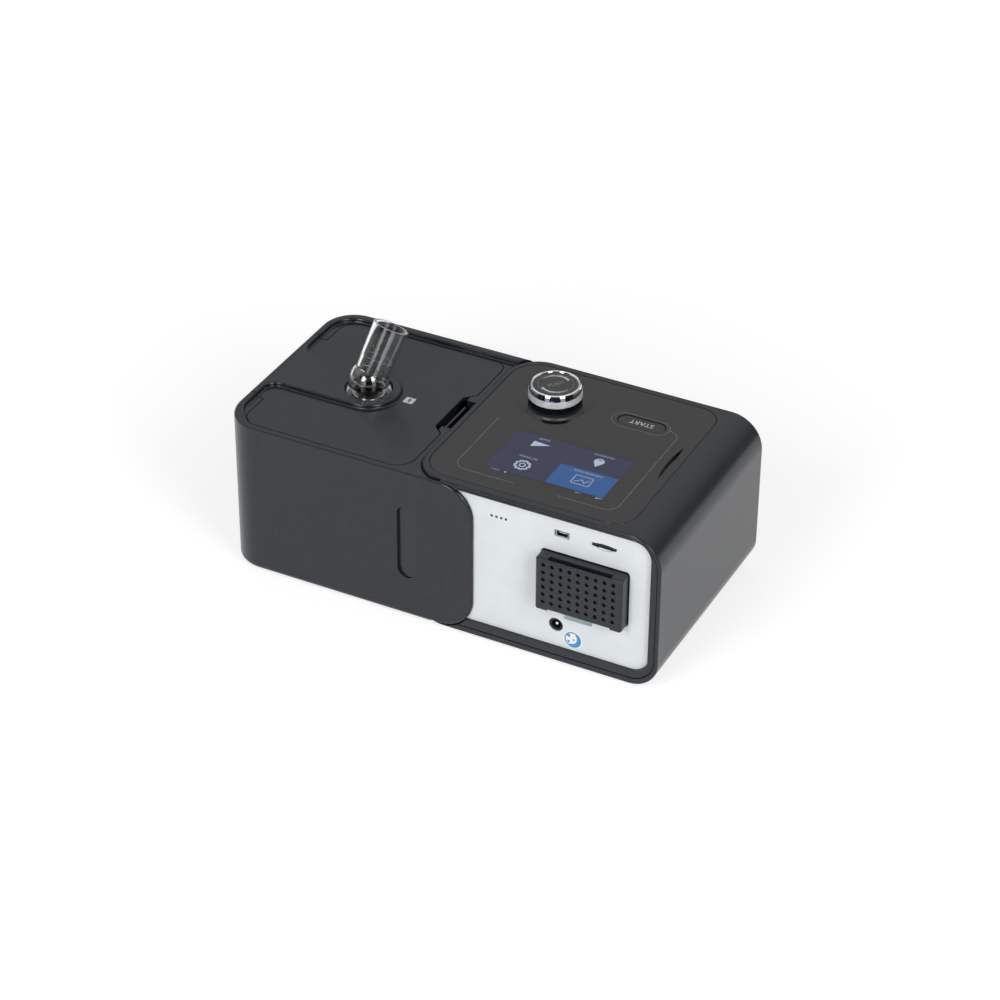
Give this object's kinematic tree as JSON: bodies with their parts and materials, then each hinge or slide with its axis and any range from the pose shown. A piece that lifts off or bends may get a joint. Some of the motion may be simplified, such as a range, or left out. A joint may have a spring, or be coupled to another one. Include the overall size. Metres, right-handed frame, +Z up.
{
  "type": "cpap machine",
  "caption": "Bedside CPAP machine: blower unit with display, control knob and filter, and a docked humidifier with hinged lid and swivelling clear hose elbow.",
  "frame": {"origin": "on the table, under the middle of the machine's bounding box", "axes": "+Z up; -Y is the rear face with the sockets and the filter; the humidifier is at -X"},
  "size_m": [0.29, 0.154, 0.1493],
  "materials": {
    "housing_dark": "fine moulded texture, satin, dark slate grey",
    "humidifier_dark": "fine moulded texture, satin, dark slate grey",
    "panel_white": "satin white moulding",
    "panel_black_gloss": "polished piano black",
    "display_glass": "polished display window",
    "display_glow": "lit colour display",
    "knob_satin": "fine satin anodised",
    "knob_chrome": "bright chrome plating",
    "knob_black": "polished black",
    "clear_plastic": "clear moulded plastic",
    "rubber_black": "soft matte",
    "seal_grey": "soft matte",
    "steel": "bright rolled steel",
    "heater_aluminium": "fine machined",
    "contact_gold": "gold-plated contact",
    "circuit_board": "solder mask",
    "inner_black": "moulded black",
    "inner_grey": "moulded grey",
    "foam": "open-cell foam",
    "filter_felt": "white filter felt",
    "card_black": "moulded card"
  },
  "bodies": {
    "main_unit": {"belt_shell": "housing_dark", "base_cover": "housing_dark", "cover_screws": "steel", "main_feet": "rubber_black", "rear_bezel": "housing_dark", "rear_panel": "panel_white", "dock_wall": "housing_dark", "dock_contacts": "contact_gold", "dock_seal": "seal_grey", "front_panel": "housing_dark", "control_panel": "panel_black_gloss", "display_window": "display_glass", "lcd_module": "display_glow", "main_board": "circuit_board", "board_screws": "steel", "encoder_body": "inner_black", "start_switch": "inner_black", "usb_socket": "steel", "card_socket": "inner_black", "dc_jack": "inner_black", "dc_pin": "contact_gold", "power_board": "circuit_board", "inlet_duct": "inner_grey", "muffler_foam": "foam", "blower_lower": "inner_grey", "blower_upper": "inner_grey", "blower_mounts": "rubber_black", "motor_stator": "steel", "motor_bearings": "steel", "outlet_duct": "inner_grey"},
    "knob_button": {"encoder_plunger": "inner_black"},
    "knob": {"encoder_shaft": "steel", "knob_skirt": "knob_satin", "knob_band": "knob_chrome", "knob_cap": "knob_black"},
    "start_key": {"start_button": "panel_black_gloss"},
    "filter": {"filter_cover": "housing_dark", "filter_pad": "filter_felt"},
    "card": {"memory_card": "card_black"},
    "rotor": {"impeller": "inner_grey", "motor_rotor": "steel"},
    "humidifier": {"humidifier_shell": "humidifier_dark", "humidifier_feet": "rubber_black", "hinge_pins": "steel", "heater_cover": "humidifier_dark", "heater_insulator": "seal_grey", "heater_element": "contact_gold", "heater_plate": "heater_aluminium", "heater_contacts": "contact_gold", "tub_base": "steel", "water_tub": "clear_plastic", "tub_seal": "seal_grey", "tub_cover": "clear_plastic", "inlet_spigot": "clear_plastic", "latch_pin": "steel", "latch_spring": "steel"},
    "lid": {"lid": "humidifier_dark", "lid_seal": "seal_grey"},
    "elbow": {"outlet_elbow": "clear_plastic"},
    "latch": {"latch_lever": "humidifier_dark"}
  },
  "joints": [
    {"name": "knob_press", "type": "slide", "parent": "main_unit", "child": "knob_button", "axis": [0, 0, -1], "range_m": [0, 0.0008], "stiffness_N_per_m": 2000, "springref_m": -0.0005},
    {"name": "knob_turn", "type": "hinge", "parent": "knob_button", "child": "knob", "pos_m": [0.0233, 0.041, 0.1], "axis": [0, 0, 1], "continuous": true},
    {"name": "start_press", "type": "slide", "parent": "main_unit", "child": "start_key", "axis": [0, 0, -1], "range_m": [0, 0.0008], "stiffness_N_per_m": 1500, "springref_m": -0.0005},
    {"name": "filter_pull", "type": "slide", "parent": "main_unit", "child": "filter", "axis": [0, -1, 0], "range_m": [0, 0.025]},
    {"name": "card_slide", "type": "slide", "parent": "main_unit", "child": "card", "axis": [0, -1, 0], "range_m": [0, 0.016]},
    {"name": "blower_spin", "type": "hinge", "parent": "main_unit", "child": "rotor", "pos_m": [0.062, 0.018, 0.04], "axis": [0, 0, 1], "continuous": true},
    {"name": "humidifier_detach", "type": "slide", "parent": "main_unit", "child": "humidifier", "axis": [-1, 0, 0], "range_m": [0, 0.06]},
    {"name": "lid_hinge", "type": "hinge", "parent": "humidifier", "child": "lid", "pos_m": [-0.141, 0, 0.102], "axis": [0, -1, 0], "range_deg": [0, 95]},
    {"name": "elbow_swivel", "type": "hinge", "parent": "lid", "child": "elbow", "pos_m": [-0.0815, -0.002, 0.1], "axis": [0, 0, 1], "continuous": true},
    {"name": "latch_swing", "type": "hinge", "parent": "humidifier", "child": "latch", "pos_m": [-0.0235, 0, 0.084], "axis": [0, 1, 0], "range_deg": [0, 7], "stiffness_Nm_per_rad": 0.3, "springref_deg": -3.44}
  ]
}
